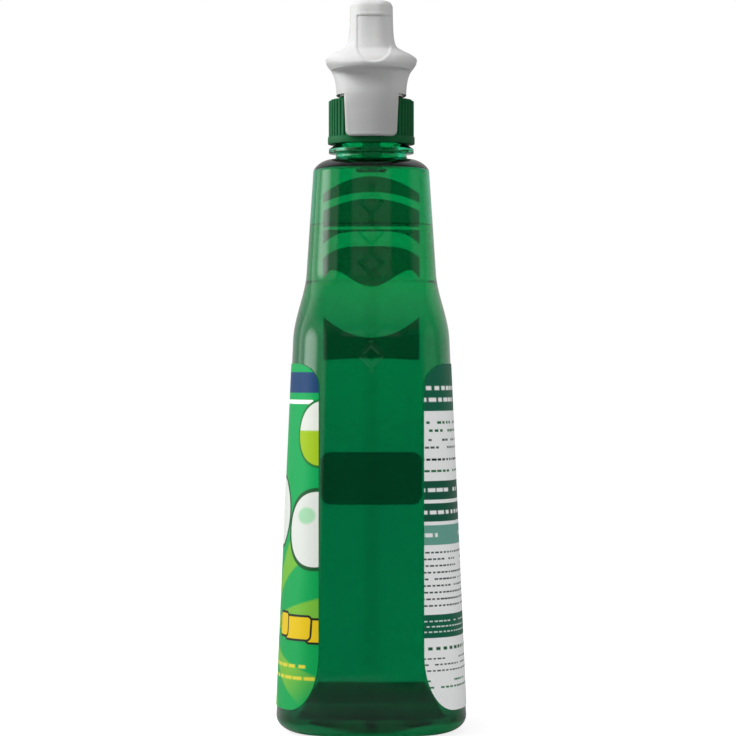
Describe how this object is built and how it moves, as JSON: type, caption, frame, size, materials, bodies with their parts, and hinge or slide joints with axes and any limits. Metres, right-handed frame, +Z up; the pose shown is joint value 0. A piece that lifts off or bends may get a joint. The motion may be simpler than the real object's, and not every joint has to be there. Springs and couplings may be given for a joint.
{
  "type": "trigger spray cleaner bottle",
  "caption": "Full all-purpose cleaner bottle in green translucent PET, with wrapped labels, a ribbed screw collar and a white trigger sprayer with its pump, dip tube and turning nozzle.",
  "frame": {"origin": "on the bottle's axis, in the plane of the standing ring under the base", "axes": "+Z up along the bottle, -X towards the nozzle and trigger, -Y the front label, +Y the back label"},
  "size_m": [0.0992, 0.075, 0.2868],
  "materials": {
    "green_pet": "gloss",
    "liquid": "gloss",
    "label_front": "satin",
    "label_back": "satin",
    "green_pp": "satin",
    "white_pp": "satin",
    "natural_pp": "satin",
    "clear_pe": "satin",
    "foam_liner": "matte",
    "dark_rubber": "matte",
    "steel": "satin"
  },
  "bodies": {
    "bottle_body": {"bottle": "green_pet", "cleaner_liquid": "liquid", "front_label": "label_front", "back_label": "label_back"},
    "sprayer": {"pump_body": "natural_pp", "shroud": "white_pp", "neck_gasket": "foam_liner", "return_spring": "steel", "tube_retainer": "natural_pp", "dip_tube": "clear_pe", "vent_valve": "dark_rubber", "outlet_valve": "dark_rubber", "spinner": "natural_pp", "nozzle_seal": "dark_rubber"},
    "collar": {"closure_collar": "green_pp"},
    "trigger_lever": {"trigger": "green_pp"},
    "piston_unit": {"piston": "natural_pp", "piston_seal": "dark_rubber"},
    "valve_ball": {"inlet_ball": "steel"},
    "nozzle": {"nozzle_cap": "green_pp"}
  },
  "joints": [
    {"name": "sprayer_rise", "type": "slide", "parent": "bottle_body", "child": "sprayer", "axis": [0, 0, 1], "range_m": [0, 0.00529]},
    {"name": "collar_turn", "type": "hinge", "parent": "sprayer", "child": "collar", "pos_m": [0, 0, 0.24], "axis": [0, 0, 1], "range_deg": [0, 450]},
    {"name": "trigger_pull", "type": "hinge", "parent": "sprayer", "child": "trigger_lever", "pos_m": [-0.019, 0, 0.27715], "axis": [0, -1, 0], "range_deg": [0, 18.2], "stiffness_Nm_per_rad": 1, "springref_deg": -11.46},
    {"name": "piston_stroke", "type": "slide", "parent": "sprayer", "child": "piston_unit", "axis": [1, 0, 0], "range_m": [0, 0.0057], "deforming": ["return_spring"]},
    {"name": "ball_lift", "type": "slide", "parent": "sprayer", "child": "valve_ball", "axis": [0, 0, 1], "range_m": [0, 0.001]},
    {"name": "nozzle_turn", "type": "hinge", "parent": "sprayer", "child": "nozzle", "pos_m": [-0.044, 0, 0.27615], "axis": [-1, 0, 0], "continuous": true}
  ],
  "couplings": [
    {"joint": "collar_turn", "follows": "sprayer_rise", "rad_per_m": 1484.3},
    {"joint": "piston_stroke", "follows": "trigger_pull", "m_per_rad": 0.017625}
  ]
}
